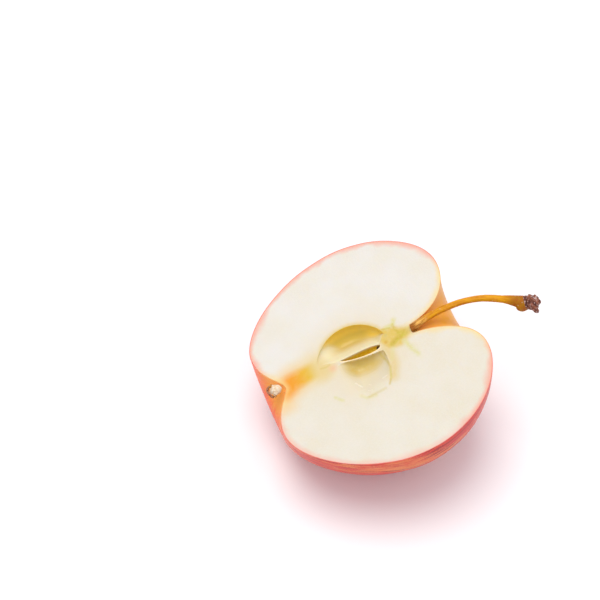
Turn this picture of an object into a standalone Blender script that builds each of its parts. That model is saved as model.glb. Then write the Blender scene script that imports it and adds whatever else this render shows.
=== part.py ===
"""Half of a red striped apple with its stem and dried calyx, lying on its rounded back.

The fruit is drawn in its own frame and then posed. In that frame X runs along the core towards the
stem, the cut face is the plane z = 0 with the back of the fruit below it, and -Y is the near lobe.
Heights are measured along the core from the middle of the fruit. The finished part stands on a
small flat spot at the world's origin, cut face up, with the stem end raised.
"""

import math

import bmesh
import bpy
from mathutils import Matrix, Vector
from mathutils.geometry import interpolate_bezier

MM = 0.001
WELD_DISTANCE = 0.01 * MM
SHARP_ANGLE = math.radians(45)

# The fruit's outline, as the mean of its two cut lobes
GIRTH_RADIUS = 35.4 * MM
GIRTH_HEIGHT = 0.4 * MM
SHOULDER_RADIUS = 15.5 * MM
SHOULDER_HEIGHT = 28.1 * MM
BASE_RADIUS = 13.0 * MM
BASE_HEIGHT = -34.7 * MM
STEM_PIT_RADIUS = 1.35 * MM
STEM_PIT_HEIGHT = 11.5 * MM
STEM_PIT_WALL = 8.4 * MM
BASIN_HEIGHT = -28.8 * MM

# How far the ends of each arc of the outline run straight on, as shares of the arc's size
PIT_REACH = (0.12, 0.54)
SHOULDER_REACH = (0.48, 0.56)
GIRTH_REACH = (0.51, 0.41)
BASE_REACH = (0.55, 0.18)

# How a real fruit departs from a turned one: near lobe larger, back lower at the stem end
NEAR_GIRTH_EXTRA = 1.55 * MM
BACK_GIRTH_EXTRA = 0.9 * MM
BACK_TAPER = 2.0 * MM
NEAR_SHOULDER_EXTRA = 1.4 * MM
BACK_SHOULDER_LOSS = 2.8 * MM
BACK_BASE_EXTRA = 1.3 * MM
NEAR_SHOULDER_LEAN = 1.1 * MM
STEM_PIT_SHIFT = 0.8 * MM
RIB_COUNT = 5
RIB_HEIGHT = 0.5 * MM
GROWTH_POWER = 1.5
LEAN_POWER = 4

PROFILE_STEPS = (8, 11, 14, 9)
TURN_STEPS = 44

# Seed chambers opened by the cut: middle of the chord (x, y), then the chord's length, the reach
# from it to the far side and to the near side, and the depth
FAR_CHAMBER = ((-6.8 * MM, 2.7 * MM), 21.6 * MM, 6.9 * MM, 2.1 * MM, 4.6 * MM)
NEAR_CHAMBER = ((-5.7 * MM, -3.9 * MM), 18.6 * MM, 2.2 * MM, 9.0 * MM, 3.6 * MM)
CORE_SLIT = ((-5.0 * MM, -0.5 * MM), 12.8 * MM, 0.9 * MM, 0.9 * MM, 5.0 * MM)
CHAMBER_POINT = 0.2
CUTTER_LIFT = 0.1 * MM
SLIT_TURN = math.radians(-6)

# The stem runs out of its pit, over the shoulder, and bends towards the near lobe
STEM_ROUTE = (
    (12.1 * MM, 0.0 * MM, 0.35 * MM),
    (14.0 * MM, 0.5 * MM, 0.35 * MM),
    (21.5 * MM, 1.3 * MM, 0.5 * MM),
    (31.6 * MM, -0.4 * MM, 1.2 * MM),
    (38.8 * MM, -4.5 * MM, 1.7 * MM),
    (44.6 * MM, -9.2 * MM, 2.0 * MM),
)
STEM_RADIUS = 1.0 * MM
STEM_SWELL = (0.95, 1.0, 0.97, 0.95, 1.1, 2.2)
STEM_STEPS = 6
KNOB_MIDDLE = (43.3 * MM, -9.0 * MM, 1.6 * MM)
KNOB_SIZE = (2.3 * MM, 1.8 * MM, 1.9 * MM)
SCAR_MIDDLE = (45.9 * MM, -9.7 * MM, 2.1 * MM)
SCAR_SIZE = (2.3 * MM, 2.5 * MM, 2.3 * MM)
SCAR_SCALES = 6
SCAR_SCALE_SIZE = (1.2 * MM, 0.9 * MM, 0.9 * MM)
SCAR_SCALE_RING = 1.66 * MM
SCAR_SPUR_RING = 2.7 * MM
SCAR_RING_OUT = 1.04 * MM
SCAR_RING_STAGGER = 1.15 * MM
SCAR_ROUGHNESS = 0.09

# Dried flower remains in the basin
TUFT_MIDDLE = (-31.5 * MM, 0.5 * MM, 0.4 * MM)
TUFT_SIZE = (1.9 * MM, 1.6 * MM, 1.5 * MM)
TUFT_ROUGHNESS = 0.08
SEPAL_ROOT_HEIGHT = -30.5 * MM
SEPAL_ROOT_RADIUS = 0.9 * MM
SEPAL_WIDTH = 2.1 * MM
SEPAL_THICKNESS = 0.4 * MM
SEPAL_LEAN = 0.45 * MM
SEPAL_TAPER = 0.6

# Each sepal's length, and how far its tip curls away from the tuft; the middle one curls over it
SEPAL_FORMS = (
    (2.3 * MM, 1.2 * MM),
    (3.1 * MM, 0.8 * MM),
    (3.9 * MM, -1.7 * MM),
    (3.0 * MM, 0.8 * MM),
    (2.1 * MM, 1.2 * MM),
)

# How the half lies: stem end raised, on a small flat spot
STEM_END_TILT = math.radians(12.3)
FLAT_DEPTH = 0.7 * MM
CUTTER_SIZE = 60 * MM

SKIN_COLOUR = (0.62, 0.05, 0.035, 1)
FLESH_COLOUR = (0.90, 0.84, 0.66, 1)
STEM_COLOUR = (0.48, 0.24, 0.03, 1)
CALYX_COLOUR = (0.33, 0.19, 0.10, 1)


def clear_scene():
    for old in list(bpy.data.objects):
        bpy.data.objects.remove(old, do_unlink=True)


def new_collection(name):
    collection = bpy.data.collections.new(name)
    bpy.context.scene.collection.children.link(collection)
    return collection


def new_material(name, colour, roughness):
    material = bpy.data.materials.new(name)
    material.use_nodes = True
    shader = material.node_tree.nodes["Principled BSDF"]
    shader.inputs["Base Color"].default_value = colour
    shader.inputs["Roughness"].default_value = roughness
    shader.inputs["Metallic"].default_value = 0
    return material


def new_object(name, data, collection, parent=None):
    made = bpy.data.objects.new(name, data)
    collection.objects.link(made)
    made.parent = parent
    return made


def baked_mesh(source):
    """The mesh that an object shows, modifiers included."""
    depsgraph = bpy.context.evaluated_depsgraph_get()
    return bpy.data.meshes.new_from_object(source.evaluated_get(depsgraph))


def smoothstep(x):
    x = min(max(x, 0), 1)
    return x * x * (3 - 2 * x)


def profile_points():
    """(height, radius) down the outline: pit wall, shoulder to girth, girth to base, basin."""
    pit = Vector((STEM_PIT_HEIGHT, STEM_PIT_RADIUS))
    shoulder = Vector((SHOULDER_HEIGHT, SHOULDER_RADIUS))
    girth = Vector((GIRTH_HEIGHT, GIRTH_RADIUS))
    base = Vector((BASE_HEIGHT, BASE_RADIUS))
    basin = Vector((BASIN_HEIGHT, 0))
    rise = girth.y - shoulder.y
    top = shoulder.x - girth.x
    drop = girth.x - base.x
    turn_in = girth.y - base.y
    pit_out = pit + Vector((STEM_PIT_WALL, PIT_REACH[0] * STEM_PIT_WALL))
    shoulder_in = shoulder - Vector((0, PIT_REACH[1] * shoulder.y))
    shoulder_out = shoulder + Vector((0, SHOULDER_REACH[0] * rise))
    girth_in = girth + Vector((SHOULDER_REACH[1] * top, 0))
    girth_out = girth - Vector((GIRTH_REACH[0] * drop, 0))
    base_in = base + Vector((0, GIRTH_REACH[1] * turn_in))
    base_out = base - Vector((0, BASE_REACH[0] * base.y))
    basin_in = basin + Vector((0, BASE_REACH[1] * base.y))
    arcs = (
        (pit, pit_out, shoulder_in, shoulder),
        (shoulder, shoulder_out, girth_in, girth),
        (girth, girth_out, base_in, base),
        (base, base_out, basin_in, basin),
    )
    points = [Vector((STEM_PIT_HEIGHT, 0))]
    for steps, arc in zip(PROFILE_STEPS, arcs):
        points.extend(interpolate_bezier(*arc, steps + 1)[:-1])
    points.append(basin)
    return points


def natural_shape(point):
    """Moves a point of the turned fruit to where the uneven real one has it."""
    x, y, z = point
    radius = math.hypot(y, z)
    if radius < 1e-7:
        return point
    near = -y / radius
    back = -z / radius
    turn = math.atan2(back, near)
    taper = BACK_TAPER * x / SHOULDER_HEIGHT
    extra = NEAR_GIRTH_EXTRA * near + (BACK_GIRTH_EXTRA - taper) * max(back, 0)
    grown = radius + extra * (radius / GIRTH_RADIUS) ** GROWTH_POWER
    if x > GIRTH_HEIGHT:
        lift = NEAR_SHOULDER_EXTRA * near - BACK_SHOULDER_LOSS * max(back, 0)
        share = (x - GIRTH_HEIGHT) / (SHOULDER_HEIGHT - GIRTH_HEIGHT)
        across = min(radius / SHOULDER_RADIUS, 1)
        grown -= NEAR_SHOULDER_LEAN * near * share**LEAN_POWER * smoothstep(across)
        grown -= STEM_PIT_SHIFT * near * share * 4 * across * (1 - across)
    else:
        lift = -BACK_BASE_EXTRA * max(back, 0)
        share = (x - GIRTH_HEIGHT) / (BASE_HEIGHT - GIRTH_HEIGHT)
        grown -= RIB_HEIGHT * share * math.sin(RIB_COUNT * turn) * smoothstep(radius / BASE_RADIUS)
    height = x + lift * share * smoothstep(radius / SHOULDER_RADIUS)
    return Vector((height, -near * grown, -back * grown))


def turned_half(collection):
    """The back of the fruit, turned through half a circle about the core and closed by the cut."""
    profile = bpy.data.meshes.new("outline")
    points = [(p.x, -p.y, 0) for p in profile_points()]
    profile.from_pydata(points, [(i, i + 1) for i in range(len(points) - 1)], [])
    lathe = new_object("outline", profile, collection)
    screw = lathe.modifiers.new("half_turn", "SCREW")
    screw.axis = "X"
    screw.angle = math.pi
    screw.steps = screw.render_steps = TURN_STEPS
    screw.use_merge_vertices = True
    screw.merge_threshold = WELD_DISTANCE
    body = baked_mesh(lathe)
    bpy.data.objects.remove(lathe)
    for vertex in body.vertices:
        vertex.co = natural_shape(vertex.co)
    shell = bmesh.new()
    shell.from_mesh(body)
    bmesh.ops.remove_doubles(shell, verts=shell.verts, dist=WELD_DISTANCE)
    rim = [edge for edge in shell.edges if edge.is_boundary]
    cut_face = bmesh.ops.contextual_create(shell, geom=rim)["faces"]
    for face in cut_face:
        face.material_index = 1
    bmesh.ops.recalc_face_normals(shell, faces=shell.faces)
    shell.to_mesh(body)
    shell.free()
    return body


def chamber_cutter(name, form, turn, material, collection, parent):
    """A seed-shaped cutter, pointed at both ends, sunk halfway into the cut face."""
    (x, y), length, far_reach, near_reach, depth = form
    shape = bmesh.new()
    upright = Matrix.Rotation(math.radians(90), 4, "Y")
    bmesh.ops.create_uvsphere(shape, u_segments=24, v_segments=14, radius=1, matrix=upright)
    for vertex in shape.verts:
        pinch = max(1 - vertex.co.x**2, 0) ** CHAMBER_POINT
        reach = far_reach if vertex.co.y > 0 else near_reach
        vertex.co.x *= length / 2
        vertex.co.y *= pinch * reach
        vertex.co.z *= pinch * depth
    mesh = bpy.data.meshes.new(name)
    shape.to_mesh(mesh)
    shape.free()
    mesh.materials.append(material)
    cutter = new_object(name, mesh, collection, parent)
    cutter.location = (x, y, CUTTER_LIFT)
    cutter.rotation_euler = (0, 0, turn)
    return cutter


def floor_cutter(material, collection):
    """A block whose top face is the floor, for the flat spot that the half rests on."""
    shape = bmesh.new()
    bmesh.ops.create_cube(shape, size=CUTTER_SIZE)
    mesh = bpy.data.meshes.new("floor_cutter")
    shape.to_mesh(mesh)
    shape.free()
    mesh.materials.append(material)
    cutter = new_object("floor_cutter", mesh, collection)
    cutter.location = (0, 0, -CUTTER_SIZE / 2)
    return cutter


def hide_cutter(cutter):
    cutter.hide_render = True
    cutter.display_type = "WIRE"


def subtract(target, cutter):
    modifier = target.modifiers.new(cutter.name, "BOOLEAN")
    modifier.operation = "DIFFERENCE"
    modifier.solver = "EXACT"
    modifier.material_mode = "TRANSFER"
    modifier.object = cutter
    hide_cutter(cutter)


def pose_on_flat_spot(body, pose):
    """Tilts the fruit's frame and sets its lowest point just under the world's origin."""
    tilt = Matrix.Rotation(-STEM_END_TILT, 4, "Y")
    lowest = min((tilt @ vertex.co for vertex in body.vertices), key=lambda point: point.z)
    pose.rotation_euler = (0, -STEM_END_TILT, 0)
    pose.location = (-lowest.x, 0, -lowest.z - FLAT_DEPTH)


def make_apple_half(parts, cutters, pose, skin, flesh):
    body = turned_half(cutters)
    body.materials.append(skin)
    body.materials.append(flesh)
    pose_on_flat_spot(body, pose)
    half = new_object("apple_half", body, parts, pose)
    body.shade_smooth()
    body.set_sharp_from_angle(angle=SHARP_ANGLE)
    for polygon in body.polygons:
        polygon.use_smooth = polygon.material_index == 0
    chambers = (
        chamber_cutter("far_chamber", FAR_CHAMBER, 0, flesh, cutters, pose),
        chamber_cutter("near_chamber", NEAR_CHAMBER, 0, flesh, cutters, pose),
        chamber_cutter("core_slit", CORE_SLIT, SLIT_TURN, flesh, cutters, pose),
        floor_cutter(skin, cutters),
    )
    for cutter in chambers:
        subtract(half, cutter)
    return half


def stem_rod(collection):
    """The bent stalk as a welded mesh, thin in the middle and swollen at its woody end."""
    curve = bpy.data.curves.new("stalk", "CURVE")
    curve.dimensions = "3D"
    curve.bevel_depth = STEM_RADIUS
    curve.bevel_resolution = 2
    curve.resolution_u = STEM_STEPS
    curve.use_fill_caps = True
    spline = curve.splines.new("BEZIER")
    spline.bezier_points.add(len(STEM_ROUTE) - 1)
    for point, place, swell in zip(spline.bezier_points, STEM_ROUTE, STEM_SWELL):
        point.co = place
        point.radius = swell
        point.handle_left_type = point.handle_right_type = "AUTO"
    rod = new_object("stalk", curve, collection)
    mesh = baked_mesh(rod)
    bpy.data.objects.remove(rod)
    weld = bmesh.new()
    weld.from_mesh(mesh)
    bmesh.ops.remove_doubles(weld, verts=weld.verts, dist=WELD_DISTANCE)
    weld.to_mesh(mesh)
    weld.free()
    return new_object("stalk", mesh, collection)


def lump(name, middle, size, collection, detail=2, roughness=0):
    """A rounded lump: an icosphere stretched to its three half sizes, with a knobbly surface."""
    shape = bmesh.new()
    bmesh.ops.create_icosphere(shape, subdivisions=detail, radius=1)
    for vertex in shape.verts:
        x, y, z = vertex.co
        bumps = math.sin(7 * x + 2) * math.sin(8 * y + 1) + math.sin(9 * z + 4 * x)
        stretched = Vector(a * b for a, b in zip(vertex.co, size))
        vertex.co = stretched * (1 + roughness * bumps) + Vector(middle)
    mesh = bpy.data.meshes.new(name)
    shape.to_mesh(mesh)
    shape.free()
    return new_object(name, mesh, collection)


def join_by_union(name, pieces, material, parts, parent):
    """One closed solid from overlapping pieces, which are then removed."""
    group = new_collection(name + "_pieces")
    base, *others = pieces
    for piece in others:
        for home in list(piece.users_collection):
            home.objects.unlink(piece)
        group.objects.link(piece)
    union = base.modifiers.new("union", "BOOLEAN")
    union.operation = "UNION"
    union.solver = "EXACT"
    union.operand_type = "COLLECTION"
    union.collection = group
    mesh = baked_mesh(base)
    for piece in pieces:
        bpy.data.objects.remove(piece)
    bpy.data.collections.remove(group)
    mesh.materials.clear()
    mesh.materials.append(material)
    mesh.shade_smooth()
    mesh.set_sharp_from_angle(angle=SHARP_ANGLE)
    return new_object(name, mesh, parts, parent)


def make_stem(parts, cutters, pose, material):
    """Stalk, the swelling under its end, and the scaly scar where it left the branch."""
    pieces = [
        stem_rod(cutters),
        lump("knob", KNOB_MIDDLE, KNOB_SIZE, cutters),
        lump("scar", SCAR_MIDDLE, SCAR_SIZE, cutters, detail=3, roughness=SCAR_ROUGHNESS),
    ]
    along = (Vector(SCAR_MIDDLE) - Vector(KNOB_MIDDLE)).normalized()
    side = along.cross(Vector((0, 0, 1))).normalized()
    up = side.cross(along)
    for i in range(SCAR_SCALES):
        turn = math.tau * i / SCAR_SCALES
        out = side * math.cos(turn) + up * math.sin(turn)
        ring = SCAR_SPUR_RING if i == 0 else SCAR_SCALE_RING
        middle = Vector(SCAR_MIDDLE) + out * ring + along * (SCAR_RING_OUT - SCAR_RING_STAGGER * (i % 2))
        pieces.append(lump(f"scale_{i}", middle, SCAR_SCALE_SIZE, cutters, roughness=SCAR_ROUGHNESS))
    return join_by_union("stem", pieces, material, parts, pose)


def sepal(index, collection):
    """One dried sepal: a thin pointed blade that stands beside the tuft and curls at its tip."""
    shape = bmesh.new()
    bmesh.ops.create_icosphere(shape, subdivisions=2, radius=1)
    turn = math.radians(180 * index / (len(SEPAL_FORMS) - 1))
    length, curl = SEPAL_FORMS[index]
    out = Vector((0, -math.cos(turn), -math.sin(turn)))
    across = Vector((1, 0, 0)).cross(out)
    root = Vector((SEPAL_ROOT_HEIGHT, TUFT_MIDDLE[1], TUFT_MIDDLE[2])) + out * SEPAL_ROOT_RADIUS
    for vertex in shape.verts:
        along = (vertex.co.x + 1) / 2
        wide = vertex.co.y * (1 - SEPAL_TAPER * along) * SEPAL_WIDTH / 2
        lean = along**3 * curl + along * SEPAL_LEAN + vertex.co.z * SEPAL_THICKNESS
        vertex.co = root - Vector((along * length, 0, 0)) + out * lean + across * wide
    mesh = bpy.data.meshes.new(f"sepal_{index}")
    shape.to_mesh(mesh)
    shape.free()
    return new_object(f"sepal_{index}", mesh, collection)


def make_calyx(parts, cutters, pose, material):
    pieces = [lump("tuft", TUFT_MIDDLE, TUFT_SIZE, cutters, detail=3, roughness=TUFT_ROUGHNESS)]
    pieces.extend(sepal(index, cutters) for index in range(len(SEPAL_FORMS)))
    return join_by_union("calyx", pieces, material, parts, pose)


def main():
    clear_scene()
    parts = new_collection("apple half")
    cutters = new_collection("cutters")
    pose = new_object("apple_pose", None, parts)
    skin = new_material("apple_skin", SKIN_COLOUR, 0.35)
    flesh = new_material("apple_flesh", FLESH_COLOUR, 0.55)
    wood = new_material("stem_bark", STEM_COLOUR, 0.6)
    dry = new_material("dry_calyx", CALYX_COLOUR, 0.85)
    make_apple_half(parts, cutters, pose, skin, flesh)
    make_stem(parts, cutters, pose, wood)
    make_calyx(parts, cutters, pose, dry)


main()
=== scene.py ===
import math

import bmesh
import bpy
import numpy as np
from mathutils import Matrix, Vector, noise
from mathutils.geometry import delaunay_2d_cdt


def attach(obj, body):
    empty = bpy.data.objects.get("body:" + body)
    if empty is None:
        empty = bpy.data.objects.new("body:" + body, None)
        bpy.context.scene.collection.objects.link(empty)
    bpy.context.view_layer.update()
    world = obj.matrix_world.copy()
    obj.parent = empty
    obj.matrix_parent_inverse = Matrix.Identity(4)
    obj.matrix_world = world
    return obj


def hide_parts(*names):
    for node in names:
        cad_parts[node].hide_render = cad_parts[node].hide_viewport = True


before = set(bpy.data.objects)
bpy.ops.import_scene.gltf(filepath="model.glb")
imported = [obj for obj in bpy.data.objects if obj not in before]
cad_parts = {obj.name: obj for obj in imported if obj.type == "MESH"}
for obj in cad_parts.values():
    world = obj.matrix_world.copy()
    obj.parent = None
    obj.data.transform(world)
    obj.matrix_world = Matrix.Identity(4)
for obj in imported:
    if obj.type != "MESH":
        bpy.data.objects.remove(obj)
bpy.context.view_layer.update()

# Looks of the apple half. Shapes are worked out in the fruit's own frame, in millimetres: x along
# the core towards the stem, the cut face at z = 0 with the fruit below it, and -y the near lobe.
MM = 0.001

# The fruit's outline, as the mean of its two cut lobes
GIRTH_RADIUS = 35.4
GIRTH_HEIGHT = 0.4
SHOULDER_RADIUS = 15.5
SHOULDER_HEIGHT = 28.1
BASE_RADIUS = 13.0
BASE_HEIGHT = -34.7
STEM_PIT_RADIUS = 1.35
STEM_PIT_HEIGHT = 11.5
STEM_PIT_WALL = 8.4
BASIN_HEIGHT = -28.8

# How the real fruit departs from a turned one
NEAR_GIRTH_EXTRA = 1.55
BACK_GIRTH_EXTRA = 0.9
BACK_TAPER = 2.0
NEAR_SHOULDER_EXTRA = 1.4
BACK_SHOULDER_LOSS = 2.8
BACK_BASE_EXTRA = 1.3
NEAR_SHOULDER_LEAN = 1.1
STEM_PIT_SHIFT = 0.8
RIB_COUNT = 5
RIB_HEIGHT = 0.5
DIMPLE_HEIGHT = 0.07
DIMPLES_ROUND = 7
DIMPLES_ALONG = 0.31

# Where the ochre of the pit and basin begins, as distances down the outline from the pit's middle
PIT_RUN = 30.0
BASIN_RUN = 108.0

PROFILE_STEPS = (7, 50, 80, 95, 60)
TURN_STEPS = 150
SHARP_ANGLE = math.radians(55)

# How the fruit's frame lies in the row frame
STEM_END_TILT = math.radians(12.3)
POSE_PLACE = Vector((3.5146, 0, 36.0572)) * MM
POSE = Matrix.Translation(POSE_PLACE) @ Matrix.Rotation(-STEM_END_TILT, 4, "Y")

# Far seed chamber: its tips, the arch of its rim and its floor
FAR_TIPS = (-18.1, 3.7)
FAR_CHORD = (1.5, 2.4)
FAR_ARCH = 7.7
FAR_DEPTH = 4.4
FAR_DEEPEST = 0.62

# Near seed chamber: its tips, the sweep of its lower rim and its floor
NEAR_TIPS = (-15.7, 1.7)
NEAR_CHORD = -5.2
NEAR_SWEEP = 8.6
NEAR_DEPTH = 3.2
NEAR_DEEPEST = 0.8

# The slit between them, with the bright lip of the core's wall along its near side
SLIT_ENDS = (-11.1, 1.3)
SLIT_FAR_SIDE = ((-11.1, 0.42), (-6.0, 0.42), (-0.5, 0.85), (1.3, -0.3))
SLIT_LIP_SIDE = ((-11.1, 0.3), (-8.0, -1.5), (1.2, -2.3), (1.3, -0.45))
SLIT_DEPTH = 2.6
LIP_WIDTH = 0.26

# How full each arch and floor is towards its left and its right tip
FAR_ARCH_POWERS = (0.7, 0.67)
NEAR_SWEEP_POWERS = (0.6, 0.42)
NEAR_LIP_POWERS = (0.5, 0.16)
FAR_FLOOR_POWERS = (1.6, 0.5)
NEAR_FLOOR_POWERS = (7.0, 0.6)
SLIT_FLOOR_POWERS = (0.5, 0.4)

# Points on the cut face: along and beside the rims of the hollows, inside the cut's edge, and
# on three grids, given as spacing, least reach and greatest reach from the core's middle
RIM_SPACING = 0.2
RIM_ROWS = (0.1, 0.22, 0.4, -0.1, -0.22, -0.4)
EDGE_ROWS = ((0.12, 1), (0.35, 1), (0.7, 2), (1.2, 3))
LEAST_SPACING = 0.085
FACE_GRIDS = ((0.27, 0.0, 1.0), (0.55, 0.97, 1.2), (1.4, 1.17, 9.0))
CORE_MIDDLE = (-6.8, -2.0)
CORE_SIZE = (14.0, 14.8)

# Colours on the chambers' walls, partly their own tan and ochre and partly painted shade and painted
# light: shares of the way across, and x where they fade at the ends
OCHRE_SHADE_START = (0.5, 0.8)
OCHRE_SHADE_LEFT = (-15.5, -12.5)
TAN_ACROSS = (0.26, 0.64)
TAN_LEFT = (-14.5, -8.5)
TAN_RIGHT = (-4.0, 0.0)
LIP_SHADE_ACROSS = (0.48, 0.86)
LIP_SHADE_LEFT = (-13.5, -8.5)
LIP_SHADE_RIGHT = (-3.0, 1.5)

# Marks on the cut face, where it crosses the vessels of the fruit: strength, width, then points
OLIVE_LINES = (
    (0.9, 1.0, (11.0, 0.7), (9.3, 0.4), (7.4, 0.6)),
    (0.8, 0.6, (7.8, 0.6), (7.1, 2.0), (7.0, 3.8)),
    (1.0, 1.3, (10.4, -0.3), (7.6, -0.6), (6.0, -1.1), (4.7, -1.8)),
    (0.7, 0.45, (6.0, 3.3), (4.6, 3.6), (3.6, 3.9)),
    (0.35, 0.5, (-14.5, 0.6), (-15.7, 0.4), (-17.2, 0.7)),
    (0.6, 0.6, (0.2, -2.4), (1.1, -5.4), (1.3, -8.0), (0.2, -11.2), (-1.0, -13.0)),
    (0.35, 0.8, (-2.6, -13.7), (-4.6, -13.8), (-8.0, -13.9)),
)
PALE_RAYS = (
    (1.0, 1.3, (8.2, -2.4), (9.0, -5.0), (10.4, -8.2)),
    (0.5, 1.0, (4.7, -2.3), (3.7, -4.2), (2.6, -6.2)),
    (1.0, 1.2, (5.1, 3.8), (6.2, 3.9), (7.3, 4.0), (7.9, 5.2)),
    (0.8, 0.8, (-16.9, -9.6), (-16.0, -10.7), (-15.1, -11.6)),
    (0.6, 0.9, (-9.9, -12.6), (-8.6, -14.1), (-5.9, -14.4)),
)
CORE_TINT_LOOP = (
    (3.0, 4.2), (6.4, 3.4), (11.2, 0.7), (10.7, -0.9), (7.2, -3.2), (3.2, -2.8), (1.6, 0.4),
)
# Painted shadow: a dark spot deep in the slit's right end.
SLIT_END_SHADOW = ((0.2, -0.35), (0.9, -0.1))
SPOTS = ((1.6, 1.0), (1.2, 1.4), (3.2, -0.4))
GREY_SPOT = (3.8, 1.7)
SALMON_SPOT = (-13.9, -0.8)
LEFT_TINT = (-17.0, 0.5)
SIDE_TINT_LINE = ((2.4, -1.4), (2.9, -4.6), (2.6, -8.0), (1.0, -11.2))
WARM_MIDDLE = (-6.0, -1.0)
WARM_SIZE = (19.0, 17.0)
STAIN_TURNS_YELLOW = (-28.0, -19.0)
STAIN_AXIS = ((-29.4, -0.7), (-26.0, 0.5), (-22.5, 0.9), (-18.5, 1.4))
SEEP_LINE = ((-28.6, 1.0), (-29.0, -2.5), (-30.4, -5.0))
# Painted highlights: pale glints of the wet core wall in the near chamber, each with its strength and
# then its ends; the bump gives them small ridges.
WET_GLINTS = (
    (0.6, (-10.0, -7.4), (-8.4, -9.9)),
    (0.45, (-7.6, -11.8), (-6.4, -12.2)),
    (0.45, (-2.2, -10.1), (-0.6, -10.0)),
    (0.35, (-6.9, -9.0), (-6.0, -10.4)),
)

# The stalk's route from the pit, the swelling under its end and the scar where it left the branch
STEM_ROUTE = (
    (11.7, 0.0, 0.35), (14.0, 0.5, 0.35), (21.5, 1.3, 0.5),
    (31.6, -0.4, 1.2), (38.8, -4.5, 1.7), (44.6, -9.2, 2.0),
)
STEM_RADIUS = 1.0
STEM_SWELL = (0.85, 1.0, 0.97, 0.95, 1.1, 2.2)
KNOB_MIDDLE = Vector((43.4, -9.0, 1.6))
KNOB_SIZE = (2.3, 1.8, 1.9)
SCAR_MIDDLE = Vector((45.9, -9.7, 2.1))
SCAR_SIZE = 2.3
SCAR_CORE = (2.0, 2.1, 2.0)
SCAR_SPUR = (1.3, 0.75, 0.8)
SCAR_SPUR_REACH = 3.0
SCAR_SCALES = 12
GOLDEN_TURN = 2.4
CHIP_SQUARENESS = 0.6
STEM_VOXEL = 0.13
STRAND_COUNT = 11
STRAND_RING = 0.8
STRAND_LENGTHS = (0.8, 1.9)
STRAND_THICKNESS = (0.24, 0.28)
BARK_ROUGHNESS = 0.035
RIDGE_COUNT = 5
RIDGE_HEIGHT = 0.05

# Dried flower remains in the basin
TUFT_MIDDLE = Vector((-31.5, 0.5, 0.4))
TUFT_CORE = (1.75, 1.45, 1.35)
TUFT_SIZE = (1.9, 1.6, 1.5)
FLORET_COUNT = 22
SEPAL_ROOT_HEIGHT = -30.5
SEPAL_ROOT_RADIUS = 0.9
SEPAL_WIDTH = 2.0
SEPAL_THICKNESS = 0.28
SEPAL_LEAN = 0.45
SEPAL_TAPER = 0.62
CALYX_VOXEL = 0.085
CURL_LINE = (
    (-32.6, 1.8, 1.3), (-33.4, 1.6, 1.5), (-33.9, 0.9, 1.5),
    (-33.9, 0.1, 1.3), (-33.6, -0.7, 1.0), (-33.2, -1.4, 0.6),
)
CURL_SIZE = (0.7, 0.42, 0.3)

# Each sepal's length, and how far its tip curls away from the tuft; the middle one curls over it
SEPAL_FORMS = ((2.2, 1.1), (3.0, 0.7), (3.9, -1.7), (2.9, 0.7), (2.0, 1.1))

# The camera looks down on the cut face from 700 mm away; its aim is off the picture's middle
VIEW_RIGHT = Vector((0.9276, -0.3730, 0.0))
VIEW_UP = Vector((0.3228, 0.8000, 0.5053))
VIEW_BACK = Vector((-0.1881, -0.4690, 0.8627))
VIEW_AIM = POSE_PLACE + Vector((0, -0.5, 0)) * MM
VIEW_FROM = VIEW_AIM + (VIEW_BACK * 700 - VIEW_RIGHT * 22.32 + VIEW_UP * 13.62) * MM
VIEW_LENS = 144.9
SENSOR_WIDTH = 36

# A broad key, high up and a little behind the far lobe, in a white surround that darkens downwards
SUN_FROM = Vector((-0.08, 0.16, 1.0))
SUN_COLOUR = (1.0, 0.995, 0.95)
SUN_ENERGY = 1.5
SUN_ANGLE = math.radians(34)
SKY_COLOUR = (0.975, 0.94, 1.0, 1)
SKY_LOW = 0.15
SKY_HIGH = 1.0
SKY_HIGH_FROM = 0.85
FLOOR_HALF = 2.5


def smooth(x):
    x = np.clip(x, 0, 1)
    return x * x * (3 - 2 * x)


def ramp(x, low, high):
    """0 below low, 1 above high, smooth between; falls instead where low is above high."""
    return smooth((x - low) / (high - low))


def bezier(a, b, c, d, steps):
    """Points of a Bezier curve, without its last one."""
    t = np.linspace(0, 1, steps + 1)[:-1, None]
    a, b, c, d = (np.array(p, float) for p in (a, b, c, d))
    return (1 - t) ** 3 * a + 3 * (1 - t) ** 2 * t * b + 3 * (1 - t) * t**2 * c + t**3 * d


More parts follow.
